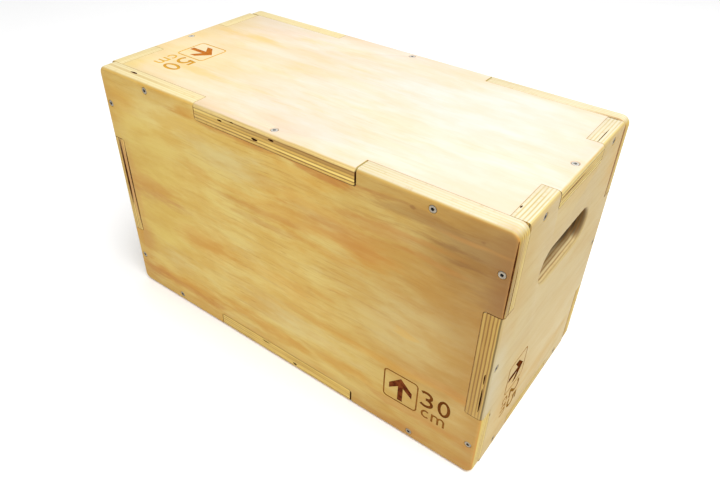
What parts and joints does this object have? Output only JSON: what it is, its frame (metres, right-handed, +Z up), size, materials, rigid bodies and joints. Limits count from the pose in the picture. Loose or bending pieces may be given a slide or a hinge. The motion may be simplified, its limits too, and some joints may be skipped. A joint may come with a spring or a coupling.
{
  "type": "plyo box",
  "caption": "Plywood plyo box for step and jump training: finger-jointed panels, countersunk screws, rounded edges and a hand hole in each end; any face can be stood on.",
  "frame": {"origin": "middle of the underside, on the floor that the box stands on", "axes": "+X along the length, +Y from the front panel to the rear panel, +Z up"},
  "size_m": [0.5, 0.25, 0.3],
  "materials": {
    "pine_plywood": "satin clear lacquer on rotary-cut pine veneer, bare striped ply on the edges",
    "zinc_screw": "bright zinc plate"
  },
  "bodies": {
    "root": {"front_panel": "pine_plywood", "rear_panel": "pine_plywood", "top_panel": "pine_plywood", "bottom_panel": "pine_plywood", "left_end_panel": "pine_plywood", "right_end_panel": "pine_plywood", "front_top_screws": "zinc_screw", "front_bottom_screws": "zinc_screw", "rear_top_screws": "zinc_screw", "rear_bottom_screws": "zinc_screw", "front_left_screws": "zinc_screw", "front_right_screws": "zinc_screw", "rear_left_screws": "zinc_screw", "rear_right_screws": "zinc_screw", "left_top_screws": "zinc_screw", "left_bottom_screws": "zinc_screw", "right_top_screws": "zinc_screw", "right_bottom_screws": "zinc_screw"}
  },
  "joints": []
}
